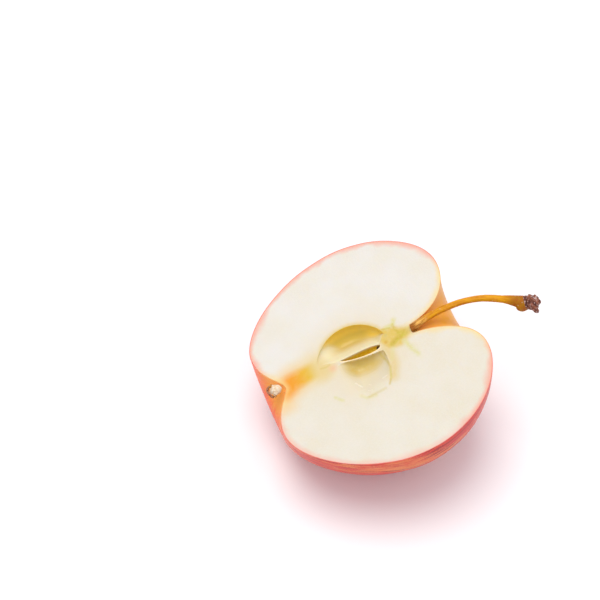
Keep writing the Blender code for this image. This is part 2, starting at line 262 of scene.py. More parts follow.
def profile():
    """(height, radius) down the outline: pit floor and wall, shoulder, girth, base and basin."""
    rise = GIRTH_RADIUS - SHOULDER_RADIUS
    top = SHOULDER_HEIGHT - GIRTH_HEIGHT
    drop = GIRTH_HEIGHT - BASE_HEIGHT
    turn_in = GIRTH_RADIUS - BASE_RADIUS
    pit = (STEM_PIT_HEIGHT, STEM_PIT_RADIUS)
    pit_lead = (STEM_PIT_HEIGHT + STEM_PIT_WALL, STEM_PIT_RADIUS + 0.12 * STEM_PIT_WALL)
    shoulder = (SHOULDER_HEIGHT, SHOULDER_RADIUS)
    shoulder_in = (SHOULDER_HEIGHT, 0.46 * SHOULDER_RADIUS)
    shoulder_out = (SHOULDER_HEIGHT, SHOULDER_RADIUS + 0.48 * rise)
    girth = (GIRTH_HEIGHT, GIRTH_RADIUS)
    girth_up = (GIRTH_HEIGHT + 0.56 * top, GIRTH_RADIUS)
    girth_down = (GIRTH_HEIGHT - 0.51 * drop, GIRTH_RADIUS)
    base = (BASE_HEIGHT, BASE_RADIUS)
    base_out = (BASE_HEIGHT, BASE_RADIUS + 0.41 * turn_in)
    base_in = (BASE_HEIGHT, 0.45 * BASE_RADIUS)
    basin = (BASIN_HEIGHT, 0)
    basin_lead = (BASIN_HEIGHT, 0.18 * BASE_RADIUS)
    floor = np.linspace((STEM_PIT_HEIGHT, 0), pit, PROFILE_STEPS[0] + 1)[:-1]
    arcs = (
        (pit, pit_lead, shoulder_in, shoulder),
        (shoulder, shoulder_out, girth_up, girth),
        (girth, girth_down, base_out, base),
        (base, base_in, basin_lead, basin),
    )
    rows = [floor] + [bezier(*arc, steps) for arc, steps in zip(arcs, PROFILE_STEPS[1:])]
    return np.concatenate(rows + [[basin]])


def natural_shape(height, radius, turn):
    """Where the real fruit has a point of the turned one; turn runs near lobe, back, far lobe."""
    near, back = np.cos(turn), np.sin(turn)
    taper = BACK_TAPER * height / SHOULDER_HEIGHT
    extra = NEAR_GIRTH_EXTRA * near + (BACK_GIRTH_EXTRA - taper) * back
    grown = radius + extra * (radius / GIRTH_RADIUS) ** 1.5
    upper = height > GIRTH_HEIGHT
    up_share = (height - GIRTH_HEIGHT) / (SHOULDER_HEIGHT - GIRTH_HEIGHT)
    down_share = (height - GIRTH_HEIGHT) / (BASE_HEIGHT - GIRTH_HEIGHT)
    across = np.minimum(radius / SHOULDER_RADIUS, 1)
    lean = NEAR_SHOULDER_LEAN * near * up_share**4 * smooth(across)
    lean = lean + STEM_PIT_SHIFT * near * up_share * 4 * across * (1 - across)
    ribs = RIB_HEIGHT * down_share * np.sin(RIB_COUNT * turn) * smooth(radius / BASE_RADIUS)
    grown = grown - np.where(upper, lean, ribs)
    lift = NEAR_SHOULDER_EXTRA * near - BACK_SHOULDER_LOSS * back
    rise = np.where(upper, lift * up_share, -BACK_BASE_EXTRA * back * down_share) * smooth(across)
    dimple = np.sin(DIMPLES_ROUND * turn + 0.16 * height)
    dimple = dimple * np.sin(DIMPLES_ALONG * height + 2 * turn)
    grown = grown + DIMPLE_HEIGHT * dimple * smooth(radius / BASE_RADIUS)
    return np.stack([height + rise, -near * grown, -back * grown], -1)


def nearest_on_line(points, line):
    """For each point, how far along a line of points it lies, and its offset from there."""
    best = np.full(len(points), 1e9)
    along = np.zeros(len(points))
    offset = np.zeros(points.shape)
    run = 0.0
    for start, end in zip(line[:-1], line[1:]):
        step = end - start
        length = np.linalg.norm(step)
        t = np.clip((points - start) @ step / max(length**2, 1e-12), 0, 1)
        away = points - start - t[:, None] * step
        gap = np.linalg.norm(away, axis=1)
        closer = gap < best
        best[closer] = gap[closer]
        along[closer] = (run + t * length)[closer]
        offset[closer] = away[closer]
        run += length
    return along, offset


def distance_to(points, path):
    """Distance from each point to a line of points, and how far along the line that is."""
    along, offset = nearest_on_line(points, path)
    return np.linalg.norm(offset, axis=1), along


def inside(points, loop):
    """Whether each point lies inside a closed line of points."""
    found = np.zeros(len(points), bool)
    for (ax, ay), (bx, by) in zip(loop, np.roll(loop, -1, 0)):
        if ay == by:
            continue
        crosses = (ay > points[:, 1]) != (by > points[:, 1])
        found ^= crosses & (points[:, 0] < (bx - ax) * (points[:, 1] - ay) / (by - ay) + ax)
    return found


def span(x, ends):
    """Place along a chamber, from -1 at one tip to 1 at the other."""
    return (2 * x - ends[0] - ends[1]) / (ends[1] - ends[0])


def swell(s, left_power, right_power):
    """Height of an arch over its chord: 1 in the middle, 0 at the tips."""
    room = np.clip(1 - s**2, 0, 1)
    return np.where(s < 0, room**left_power, room**right_power)


def curve_height(x, corners):
    """The y of a Bezier curve in the cut face at each x, level beyond its ends."""
    path = bezier(*corners, 400)
    return np.interp(x, path[:, 0], path[:, 1])


def slit_lower(x):
    return curve_height(x, SLIT_LIP_SIDE)


def slit_upper(x):
    return curve_height(x, SLIT_FAR_SIDE)


def far_chord(x):
    return FAR_CHORD[0] + (FAR_CHORD[1] - FAR_CHORD[0]) * (span(x, FAR_TIPS) + 1) / 2


def far_rim(x):
    return far_chord(x) + FAR_ARCH * swell(span(x, FAR_TIPS), *FAR_ARCH_POWERS)


def far_floor_edge(x):
    """The chamber's near edge, which is the slit's far edge where there is one."""
    chord = far_chord(x)
    left = ramp(x, SLIT_ENDS[0] - 6.5, SLIT_ENDS[0])
    right = ramp(x, FAR_TIPS[1], SLIT_ENDS[1] - 1)
    return chord + (slit_upper(x) + 0.02 - chord) * left * right


def near_rim(x):
    return NEAR_CHORD - NEAR_SWEEP * swell(span(x, NEAR_TIPS), *NEAR_SWEEP_POWERS)


def near_lip(x):
    rise = slit_lower(x) - LIP_WIDTH - NEAR_CHORD
    return NEAR_CHORD + rise * swell(span(x, NEAR_TIPS), *NEAR_LIP_POWERS)


def bowl(s, t, deepest, *powers):
    """Depth across a chamber as a share: t runs from its gentle side (0) to its steep wall (1)."""
    floor = ramp(t, -0.05, deepest)
    wall = np.sqrt(np.clip(1 - (np.clip(t - deepest, 0, 1) / (1 - deepest)) ** 2, 0, 1))
    return np.where(t < deepest, floor, wall) * swell(s, *powers)


def hollow_place(x, y, ends, low, high):
    """Where points lie along a hollow and across it, and whether they are inside it."""
    s = span(x, ends)
    t = (y - low) / np.maximum(high - low, 0.05)
    return s, t, (np.abs(s) < 1) & (t > 0) & (t < 1)


def core_forms(x, y):
    """Depth of the core below the cut, and where in the far chamber, near chamber and slit it is."""
    s_far, t_far, in_far = hollow_place(x, y, FAR_TIPS, far_floor_edge(x), far_rim(x))
    s_near, t_near, in_near = hollow_place(x, y, NEAR_TIPS, near_rim(x), near_lip(x))
    s_slit, t_slit, in_slit = hollow_place(x, y, SLIT_ENDS, slit_lower(x), slit_upper(x))
    far = FAR_DEPTH * bowl(s_far, t_far, FAR_DEEPEST, *FAR_FLOOR_POWERS)
    near = NEAR_DEPTH * bowl(s_near, t_near, NEAR_DEEPEST, *NEAR_FLOOR_POWERS)
    trough = np.sqrt(np.clip(1 - (2 * t_slit - 1) ** 2, 0, 1))
    trough = SLIT_DEPTH * trough * swell(s_slit, *SLIT_FLOOR_POWERS)
    depth = np.where(in_near, near, np.where(in_far, far, 0))
    depth = np.where(in_slit, np.maximum(trough, depth), depth)
    return depth, np.where(in_far, t_far, -1), np.where(in_near, t_near, -1), in_slit


def hex_grid(spacing, low, high):
    """Points of a grid of even triangles between two corners."""
    rows = np.arange(low[1], high[1], spacing * math.sqrt(3) / 2)
    columns = np.arange(low[0], high[0], spacing)
    x, y = np.meshgrid(columns, rows)
    x = x + spacing / 2 * (np.arange(len(rows)) % 2)[:, None]
    return np.stack([x.ravel(), y.ravel()], 1)


def leftward(steps):
    """Directions in the plane at right angles to the given steps, on their left."""
    steps = steps / np.maximum(np.hypot(*steps.T), 1e-9)[:, None]
    return np.stack([-steps[:, 1], steps[:, 0]], 1)


def rows_inside(loop):
    """Copies of a closed line moved inwards, for even shading along the cut's edge."""
    inward = -leftward(np.roll(loop, -1, 0) - np.roll(loop, 1, 0))
    if inside(loop + inward * 0.05, loop).mean() < 0.5:
        inward = -inward
    rows = []
    for offset, step in EDGE_ROWS:
        row = (loop + inward * offset)[::step]
        gap, _ = distance_to(row, np.vstack([loop, loop[:1]]))
        rows.append(row[(gap > 0.85 * offset) & inside(row, loop)])
    return np.concatenate(rows)


def eased(ends, steps):
    """Places from one end to the other, closer together near both."""
    turn = np.linspace(0, math.pi, steps + 1)
    return (ends[0] + ends[1]) / 2 - np.cos(turn) * (ends[1] - ends[0]) / 2


def run_along(path):
    """How far along a line of points each of them lies."""
    return np.concatenate([[0], np.cumsum(np.hypot(*np.diff(path, axis=0).T))])


def even_path(x, y, spacing):
    """The same line of points, with even distances along it."""
    run = run_along(np.stack([x, y], 1))
    count = max(int(run[-1] / spacing), 2)
    at = np.linspace(0, run[-1], count + 1)
    return np.stack([np.interp(at, run, x), np.interp(at, run, y)], 1)


def hollow_rims():
    """The rims of the core's hollows as lines of points."""
    far_x, near_x, slit_x = eased(FAR_TIPS, 600), eased(NEAR_TIPS, 600), eased(SLIT_ENDS, 400)
    edges = (
        (far_x, far_rim), (far_x, far_floor_edge),
        (near_x, near_lip), (near_x, near_rim),
        (slit_x, slit_upper), (slit_x, slit_lower),
    )
    return [even_path(x, edge(x), RIM_SPACING) for x, edge in edges]


def rows_beside(rims):
    """Points that follow each rim on both sides, so that the shading turns sharply there."""
    rows = [rim + leftward(np.gradient(rim, axis=0)) * offset for rim in rims for offset in RIM_ROWS]
    return np.concatenate(rows)


def thinned(points, spacing):
    """Points with none nearer than the spacing to one before it."""
    kept, cells = [], {}
    for point in points:
        cell = (int(point[0] // spacing), int(point[1] // spacing))
        around = [cells.get((cell[0] + i, cell[1] + j), ()) for i in (-1, 0, 1) for j in (-1, 0, 1)]
        if any(math.dist(point, other) < spacing for group in around for other in group):
            continue
        cells.setdefault(cell, []).append(tuple(point))
        kept.append(tuple(point))
    return np.array(kept)


def face_points(loop, rims):
    """Points that fill the cut face: dense in the core and at the rim, open elsewhere."""
    closed = np.vstack([loop, loop[:1]])
    grids = []
    for spacing, least, most in FACE_GRIDS:
        grid = hex_grid(spacing, loop.min(0), loop.max(0))
        reach = np.hypot(*((grid - CORE_MIDDLE) / CORE_SIZE).T)
        grid = grid[(reach >= least) & (reach < most)]
        gap, _ = distance_to(grid, closed)
        grids.append(grid[inside(grid, loop) & (gap > max(spacing, 0.5))])
    lines = np.concatenate(rims)
    core = thinned(np.concatenate([lines, rows_beside(rims), grids[0]]), LEAST_SPACING)
    core = core[len(thinned(lines, LEAST_SPACING)):]
    return np.concatenate([rows_inside(loop), core] + grids[1:])


def skin_points(rows):
    """The skin's points row by row with both poles last, and each one's turn and run."""
    turns = np.linspace(0, math.pi, TURN_STEPS + 1)
    grid = natural_shape(rows[1:-1, None, 0], rows[1:-1, None, 1], turns[None, :])
    poles = [(rows[0, 0], 0, 0), (rows[-1, 0], 0, 0)]
    run = run_along(rows)
    place = np.stack(np.broadcast_arrays(turns[None, :], run[1:-1, None]), -1).reshape(-1, 2)
    place = np.concatenate([place, [(math.pi / 2, 0), (math.pi / 2, run[-1])]])
    return np.concatenate([grid.reshape(-1, 3), poles]), place


def skin_faces(rings):
    """Faces with four sides between the rows, and triangles round both poles."""
    across = TURN_STEPS + 1
    last = (rings - 1) * across
    pit, basin = rings * across, rings * across + 1
    faces = []
    for a in range(0, last, across):
        faces += [(a + j, a + j + 1, a + across + j + 1, a + across + j) for j in range(TURN_STEPS)]
    faces += [(pit, j + 1, j) for j in range(TURN_STEPS)]
    faces += [(basin, last + j, last + j + 1) for j in range(TURN_STEPS)]
    return faces


def edge_points(rings):
    """The skin's points round the cut: from the pit along the near lobe, back along the far one."""
    across = TURN_STEPS + 1
    near = [i * across for i in range(rings)]
    far = [i * across + TURN_STEPS for i in reversed(range(rings))]
    return np.array([rings * across, *near, rings * across + 1, *far])


def cut_triangles(loop):
    """Triangles that fill the cut: their places, their faces, and each place's point of the loop."""
    rims = hollow_rims()
    flat = np.concatenate([loop, *rims, face_points(loop, rims)])
    sides = [(i, (i + 1) % len(loop)) for i in range(len(loop))]
    first = len(loop)
    for line in rims:
        sides += [(first + i, first + i + 1) for i in range(len(line) - 1)]
        first += len(line)
    places, _, faces, sources, *_ = delaunay_2d_cdt([Vector(p) for p in flat], sides, [], 1, 1e-4)
    on_loop = [next((k for k in group if k < len(loop)), -1) for group in sources]
    return np.array([tuple(p) for p in places]), faces, np.array(on_loop)


def fruit_mesh():
    """The whole half as one closed mesh, with the values that its two materials read."""
    rows = profile()
    skin, skin_place = skin_points(rows)
    outer = skin_faces(len(rows) - 2)
    edge = edge_points(len(rows) - 2)
    loop = skin[edge][:, :2]
    places, triangles, on_loop = cut_triangles(loop)
    fresh = on_loop < 0
    ids = np.where(fresh, len(skin) + np.cumsum(fresh) - 1, edge[on_loop])
    faces = outer + [tuple(ids[list(face)]) for face in triangles]
    places = places[fresh]
    depth, far, near, slit = core_forms(*places.T)
    cut = np.column_stack([places, -depth])
    closed = np.vstack([loop, loop[:1]])
    rim, rim_run = distance_to(places, closed)
    cut_run = np.interp(rim_run, run_along(closed), skin_place[np.append(edge, edge[0]), 1])
    no_share = np.zeros(len(skin))
    values = {
        "rim": np.concatenate([no_share, rim]),
        "turn": np.concatenate([skin_place[:, 0], np.zeros(len(cut))]),
        "run": np.concatenate([skin_place[:, 1], cut_run]),
    }
    for name, share in flesh_masks(cut, far, near, slit).items():
        values[name] = np.concatenate([no_share, share])
    return np.concatenate([skin, cut]), faces, len(outer), values


def near_path(place, path, wide, narrow=0.0):
    """1 on a line of points in the cut face, falling to 0 at the given distance from it."""
    gap, _ = distance_to(place, np.array(path))
    return ramp(gap, wide, narrow)


def from_point(place, point):
    return np.hypot(*(place - point).T)


def loop_depth(place, loop):
    """How far inside a closed line each point lies; below 0 outside."""
    loop = np.array(loop)
    gap, _ = distance_to(place, np.vstack([loop, loop[:1]]))
    return np.where(inside(place, loop), gap, -gap)


def strongest(place, marks):
    """The strongest of several marks at each point."""
    return np.max([mark[0] * near_path(place, mark[2:], mark[1]) for mark in marks], 0)


def wall_masks(cut, far, near, slit):
    """Shares of the colours on the walls of the core's two chambers and of the slit, painted shade
    and painted light among them.
    """
    x, y, depth = cut[:, 0], cut[:, 1], -cut[:, 2]
    # The ochre on the far chamber's upper wall is partly the core wall's own colour and partly
    # painted shade, where the steep wall faces away from the light.
    start = OCHRE_SHADE_START[0] + (OCHRE_SHADE_START[1] - OCHRE_SHADE_START[0]) * ramp(x, -8.5, -13.0)
    ochre = ramp(far, start, start + 0.24) * ramp(x, *OCHRE_SHADE_LEFT)
    # Painted light: the mustard turns brighter just under the far rim and towards the right end, to
    # lift the shade that the steep wall takes there.
    painted_light = np.maximum(ramp(far, 0.84, 0.97), ramp(x, -2.5, 1.5))
    # The tan across the far wall's middle is partly the wall's own colour and partly painted shade,
    # which dims the lit band along the bowl's deepest line.
    tan = ramp(far, *TAN_ACROSS) * ramp(x, *TAN_LEFT) * (1 - 0.4 * ramp(x, *TAN_RIGHT))
    # Painted shade: the near chamber's wall under the lip takes the same mustard where it lies in
    # shade.
    shade = ramp(near, *LIP_SHADE_ACROSS) * ramp(x, *LIP_SHADE_LEFT)
    shade *= 1 - 0.45 * ramp(x, *LIP_SHADE_RIGHT)
    in_far, in_near = far >= 0, near >= 0
    pale = in_far * ramp(x, -18, -13) + in_near * 0.15 * ramp(x, -15, -9)
    lip_gap = np.abs(y - (slit_lower(x) - LIP_WIDTH / 2))
    lip = ramp(lip_gap, 0.3, 0.1) * (np.abs(span(x, SLIT_ENDS)) < 1.02) * (depth < 0.5)
    # Painted shadow deep in the slit's right end, darker with depth.
    end_shadow = near_path(cut[:, :2], SLIT_END_SHADOW, 0.42, 0.15)
    return {
        "pale_wall": np.clip(pale, 0, 1),
        "wall_tan_and_shade": in_far * tan,
        "mustard_and_shade": in_far * ochre + in_near * 0.85 * shade,
        "wall_painted_light": in_far * painted_light,
        # The slit's olive and amber grow with depth: partly the core's own colour, partly painted
        # shade in the recess.
        "slit": slit * ramp(depth, 0.1, 0.9),
        "dark": end_shadow * slit * ramp(depth, 0.3, 1.0),
        "lip": lip,
    }


def flesh_masks(cut, far, near, slit):
    """Shares of each stain and tint on the cut face and of the painted glints, from its distance to
    the core's parts, with the wall colours and their painted shade and light.
    """
    x, y = cut[:, 0], cut[:, 1]
    place = cut[:, :2]
    far_x = eased(FAR_TIPS, 80)
    far_gap, _ = distance_to(place, np.stack([far_x, far_rim(far_x)], 1))
    outside = far < 0
    rim_line = ramp(far_gap, 0.45, 0.05) * ramp(x, -17.5, -15.0) * (0.7 - 0.4 * outside)
    olive = np.maximum(strongest(place, OLIVE_LINES), rim_line)
    core = ramp(loop_depth(place, CORE_TINT_LOOP), -1.3, 0.9)
    left = 0.4 * ramp(from_point(place, LEFT_TINT), 6.0, 1.5)
    halo = 0.5 * ramp(far_gap, 1.5, 0.2) * ramp(x, -17.5, -14.0) * outside
    side = 0.55 * near_path(place, SIDE_TINT_LINE, 2.9)
    gap, along = distance_to(place, np.array(STAIN_AXIS))
    stain = ramp(gap, 4.8 - 0.12 * along, 1.3) * ramp(x, -17.5, -21.5)
    spots = np.min([from_point(place, spot) for spot in SPOTS], 0)
    # Painted highlights: the wet wall's glints.
    glints = np.max([size * near_path(place, mark, 0.5) for size, *mark in WET_GLINTS], 0)
    return wall_masks(cut, far, near, slit) | {
        "olive": olive,
        "tint": np.maximum.reduce([core, left, halo, side]),
        "near_lobe": ramp(y, 12, -8),
        "ray": strongest(place, PALE_RAYS),
        "stain": stain,
        "stain_end": ramp(x, *STAIN_TURNS_YELLOW),
        "stain_halo": ramp(gap, 7.5, 2.0),
        "seep": near_path(place, SEEP_LINE, 5.5),
        "warm": ramp(np.hypot(*((place - WARM_MIDDLE) / WARM_SIZE).T), 1.15, 0.3),
        "spot": ramp(spots, 0.75, 0.2),
        "grey_spot": ramp(from_point(place, GREY_SPOT), 0.9, 0.2),
        "salmon": 0.45 * ramp(from_point(place, SALMON_SPOT), 2.0, 0.0),
        "glint": glints * (near >= 0),
        "blush": 0.5 + 0.44 * np.maximum(ramp(y, -8, 16), ramp(x, 8, 20)),
    }


def link(name, data):
    made = bpy.data.objects.new(name, data)
    bpy.context.scene.collection.objects.link(made)
    return made


def new_mesh_object(name, points, faces, values, *materials):
    """An object in the fruit's frame, set down in the row frame as the part lies."""
    mesh = bpy.data.meshes.new(name)
    mesh.from_pydata([tuple(p) for p in points * MM], [], [tuple(map(int, f)) for f in faces])
    for key, numbers in values.items():
        layer = mesh.attributes.new(key, "FLOAT", "POINT")
        layer.data.foreach_set("value", np.asarray(numbers, np.float32))
    place = mesh.attributes.new("fruit", "FLOAT_VECTOR", "POINT")
    place.data.foreach_set("vector", np.asarray(points, np.float32).ravel())
    for material in materials:
        mesh.materials.append(material)
    mesh.transform(POSE)
    mesh.shade_smooth()
    return link(name, mesh)


def rested(points):
    """The skin's lowest spot is flattened where the half rests."""
    up = np.array((math.sin(STEM_END_TILT), 0, math.cos(STEM_END_TILT)))
    height = points @ up + POSE_PLACE.z / MM
    sunk = np.minimum(height, 0)
    return points - sunk[:, None] * up


def make_apple(*materials):
    points, faces, skin_count, values = fruit_mesh()
    apple = new_mesh_object("apple_body", rested(points), faces, values, *materials)
    mesh = apple.data
    cut = np.arange(len(faces)) >= skin_count
    mesh.polygons.foreach_set("material_index", cut.astype(np.int32))
    shell = bmesh.new()
    shell.from_mesh(mesh)
    bmesh.ops.recalc_face_normals(shell, faces=shell.faces)
    shell.to_mesh(mesh)
    shell.free()
    mesh.set_sharp_from_angle(angle=SHARP_ANGLE)
    return apple


def baked_mesh(source):
    """The mesh that an object shows, modifiers included; the object itself is removed."""
    depsgraph = bpy.context.evaluated_depsgraph_get()
    mesh = bpy.data.meshes.new_from_object(source.evaluated_get(depsgraph))
    bpy.data.objects.remove(source)
    return mesh


def add_lump(shape, middle, size, along=(1, 0, 0), detail=3):
    """An ellipsoid whose first half size lies along the given direction."""
    turn = Vector(along).to_track_quat("X", "Z").to_matrix().to_4x4()
    place = Matrix.Translation(middle) @ turn @ Matrix.Diagonal((*size, 1))
    bmesh.ops.create_icosphere(shape, subdivisions=detail, radius=1, matrix=place)


def add_chip(shape, middle, size, along):
    """A blocky flake with rounded edges, thin along the given direction."""
    turn = Vector(along).to_track_quat("Z", "X").to_matrix()
    chip = bmesh.ops.create_icosphere(shape, subdivisions=3, radius=1)["verts"]
    for vertex in chip:
        halves = zip(vertex.co, size)
        squared = [math.copysign(abs(part) ** CHIP_SQUARENESS * half, part) for part, half in halves]
        vertex.co = Vector(middle) + turn @ Vector(squared)


def fused(name, shape, voxel, passes):
    """One closed mesh from overlapping ones, rebuilt on a fine grid and smoothed a little."""
    mesh = bpy.data.meshes.new(name)
    shape.to_mesh(mesh)
    shape.free()
    source = link(name, mesh)
    rebuild = source.modifiers.new("rebuild", "REMESH")
    rebuild.mode = "VOXEL"
    rebuild.voxel_size = voxel
    soften = source.modifiers.new("soften", "SMOOTH")
    soften.factor = 0.5
    soften.iterations = passes
    return baked_mesh(source)


def stalk_mesh(bevel):
    """The stalk as a tube, or with no bevel as the line down its middle."""
    curve = bpy.data.curves.new("stalk", "CURVE")
    curve.dimensions = "3D"
    curve.bevel_depth = bevel
    curve.bevel_resolution = 5
    curve.resolution_u = 20
    curve.use_fill_caps = bevel > 0
    spline = curve.splines.new("BEZIER")
    spline.bezier_points.add(len(STEM_ROUTE) - 1)
    for point, place, size in zip(spline.bezier_points, STEM_ROUTE, STEM_SWELL):
        point.co = place
        point.radius = size
        point.handle_left_type = point.handle_right_type = "AUTO"
    return baked_mesh(link("stalk", curve))


def vectors_of(items, name):
    flat = np.zeros(len(items) * 3)
    items.foreach_get(name, flat)
    return flat.reshape(-1, 3)


def points_of(mesh):
    return vectors_of(mesh.vertices, "co")


def normals_of(mesh):
    return vectors_of(mesh.vertex_normals, "vector")


def faces_of(mesh):
    return [tuple(polygon.vertices) for polygon in mesh.polygons]


def roughened(points, normals, scale, height):
    """Points moved along their normals by fractal noise; height may vary from point to point."""
    amount = [noise.fractal(Vector(p) * scale, 0.8, 2.2, 3) for p in points]
    return points + normals * (np.array(amount) * height)[:, None]


def add_scar(shape, out, rng):
    """The woody scar: a core, flakes that overlap on it and a spur at one side."""
    side = out.cross(Vector((0, 0, 1))).normalized()
    up = side.cross(out)
    add_lump(shape, SCAR_MIDDLE - out * 0.2, SCAR_CORE, out)
    for i in range(SCAR_SCALES):
        turn = i * GOLDEN_TURN
        spread = math.sqrt((i + 0.5) / SCAR_SCALES)
        lean = side * math.cos(turn) + up * math.sin(turn)
        middle = SCAR_MIDDLE + lean * spread * SCAR_SIZE * 0.9 + out * (1.8 - 2.5 * spread**3)
        size = rng.uniform(0.85, 1.25)
        flat = out + lean * rng.uniform(-0.2, 1.4)
        add_chip(shape, middle, (size, 0.75 * size, 0.42 * size), flat)
    spur = SCAR_MIDDLE + side * SCAR_SPUR_REACH * 0.86 + out * 0.7
    add_lump(shape, spur, SCAR_SPUR, side + out * 0.5)


def add_strands(shape, rng):
    """The frayed base: strands of uneven length round the foot of the stalk."""
    base = Vector(STEM_ROUTE[0])
    along = (Vector(STEM_ROUTE[1]) - base).normalized()
    for i in range(STRAND_COUNT):
        turn = math.tau * i / STRAND_COUNT
        lean = Vector((0, math.cos(turn), math.sin(turn)))
        reach = rng.uniform(*STRAND_LENGTHS)
        middle = base + lean * STRAND_RING + along * (0.9 * reach - 0.5)
        add_lump(shape, middle, (reach, *STRAND_THICKNESS), along + lean * rng.uniform(0.0, 0.12), 2)


def make_stem(material):
    shape = bmesh.new()
    shape.from_mesh(stalk_mesh(STEM_RADIUS))
    bmesh.ops.remove_doubles(shape, verts=shape.verts, dist=0.001)
    add_lump(shape, KNOB_MIDDLE, KNOB_SIZE)
    out = (SCAR_MIDDLE - KNOB_MIDDLE).normalized()
    rng = np.random.default_rng(7)
    add_scar(shape, out, rng)
    add_strands(shape, rng)
    mesh = fused("stem_fused", shape, STEM_VOXEL, 2)
    points, normals = points_of(mesh), normals_of(mesh)
    along, offset = nearest_on_line(points, points_of(stalk_mesh(0)))
    woody = ramp((points - np.array(SCAR_MIDDLE)) @ np.array(out), -2.1, -1.5)
    knob = ramp(np.linalg.norm(points - np.array(KNOB_MIDDLE), axis=1), 6.5, 2.6)
    coarse = BARK_ROUGHNESS + 0.10 * ramp(along, 5, 1) + 0.10 * woody
    ridge = np.sin(np.arctan2(offset[:, 2], offset[:, 1]) * RIDGE_COUNT + 0.12 * along) * RIDGE_HEIGHT
    ridge *= (1 - woody) * ramp(along, 30, 24)
    points = roughened(points, normals, 1.3, coarse) + normals * ridge[:, None]
    values = {"along": along, "woody": woody, "knob": knob}
    values |= {"side_x": offset[:, 0], "side_y": offset[:, 1], "side_z": offset[:, 2]}
    return new_mesh_object("stem_bark", points, faces_of(mesh), values, material)


def add_sepal(shape, index):
    """A dried sepal: a thin pointed blade, cupped and crinkled, whose tip curls."""
    blade = bmesh.new()
    bmesh.ops.create_icosphere(blade, subdivisions=4, radius=1)
    turn = math.pi * index / (len(SEPAL_FORMS) - 1)
    length, curl = SEPAL_FORMS[index]
    out = Vector((0, -math.cos(turn), -math.sin(turn)))
    across = Vector((1, 0, 0)).cross(out)
    root = Vector((SEPAL_ROOT_HEIGHT, TUFT_MIDDLE.y, TUFT_MIDDLE.z)) + out * SEPAL_ROOT_RADIUS
    for vertex in blade.verts:
        along = (vertex.co.x + 1) / 2
        wide = vertex.co.y * (1 - SEPAL_TAPER * along) * SEPAL_WIDTH / 2
        crinkle = 0.12 * math.sin(9 * vertex.co.y + 5 * along + index) * along
        cup = -0.25 * vertex.co.y**2 * along
        lean = along**3 * curl + along * SEPAL_LEAN + cup + crinkle + vertex.co.z * SEPAL_THICKNESS
        vertex.co = root - Vector((along * length, 0, 0)) + out * lean + across * wide
    part = bpy.data.meshes.new("sepal")
    blade.to_mesh(part)
    blade.free()
    shape.from_mesh(part)


def add_tuft(shape):
    """The pale pad of dried stamens: a soft cushion with low rounded humps."""
    add_lump(shape, TUFT_MIDDLE, TUFT_CORE)
    rng = np.random.default_rng(11)
    for i in range(FLORET_COUNT):
        spread = math.sqrt((i + 0.5) / FLORET_COUNT)
        turn = i * GOLDEN_TURN
        lean = Vector((1.2 * spread - 1.2, math.cos(turn) * spread, math.sin(turn) * spread))
        lean = lean.normalized()
        middle = TUFT_MIDDLE + Vector(a * b for a, b in zip(lean, TUFT_CORE)) * 0.82
        add_lump(shape, middle, (rng.uniform(0.38, 0.5), 0.42, 0.42), lean, 2)


def add_curl(shape):
    """The dark dried tip that bends over the tuft's outer end."""
    for start, end in zip(CURL_LINE[:-1], CURL_LINE[1:]):
        start, end = Vector(start), Vector(end)
        add_lump(shape, (start + end) / 2, CURL_SIZE, end - start, 2)


def make_calyx(material):
    shape = bmesh.new()
    add_tuft(shape)
    add_curl(shape)
    for index in range(len(SEPAL_FORMS)):
        add_sepal(shape, index)
    mesh = fused("calyx_fused", shape, CALYX_VOXEL, 4)
    points = points_of(mesh)
    reach = np.linalg.norm((points - np.array(TUFT_MIDDLE)) / np.array(TUFT_SIZE), axis=1)
    points = roughened(points, normals_of(mesh), 2.2, np.full(len(points), 0.05))
    curl_gap = np.linalg.norm(nearest_on_line(points, np.array(CURL_LINE))[1], axis=1)
    pale = ramp(reach, 1.2, 1.04) * ramp(curl_gap, 0.4, 0.55)
    values = {"pale": pale, "outer": ramp(points[:, 0], -32.4, -33.6)}
    return new_mesh_object("calyx_dry", points, faces_of(mesh), values, material)


def linear(red, green, blue):
    """A colour given as it looks on screen, 0 to 255, as the linear values that shaders take."""
    parts = [c / 255 for c in (red, green, blue)]
    return [*(c / 12.92 if c <= 0.04045 else ((c + 0.055) / 1.055) ** 2.4 for c in parts), 1]


FLESH_WHITE = linear(221, 219, 211)
FLESH_PALE = linear(219, 215, 200)
FLESH_CREAM = linear(217, 211, 190)
FLESH_GRAIN = linear(225, 221, 212)
FLESH_WARM = linear(218, 204, 168)
STAIN_ORANGE = linear(228, 148, 0)
STAIN_YELLOW = linear(216, 180, 36)
STAIN_PEACH = linear(228, 194, 130)
STAIN_PALE = linear(221, 202, 150)
CORE_TINT = linear(212, 184, 86)
CORE_OLIVE = linear(194, 169, 56)
CORE_GREEN = linear(196, 180, 50)
RAY_GREEN = linear(211, 206, 146)
# Mustard for the chambers' steep walls, partly painted shade.
WALL_MUSTARD = linear(206, 176, 66)
# Painted light: a brighter mustard for the far wall's top and right end.
WALL_MUSTARD_PAINTED_LIGHT = linear(238, 200, 74)
# Tan for the far wall's middle, partly painted shade.
WALL_TAN = linear(200, 174, 100)
WALL_PALE = linear(232, 223, 182)
# The slit's olive and amber, partly painted shade in the recess.
SLIT_OLIVE = linear(220, 192, 60)
SLIT_AMBER = linear(212, 170, 20)
# Painted shadow at the slit's deep right end.
SLIT_SHADOW_DARK = linear(48, 26, 10)
SPOT_BROWN = linear(204, 158, 60)
SPOT_GREY = linear(200, 182, 108)
SPOT_SALMON = linear(232, 170, 130)
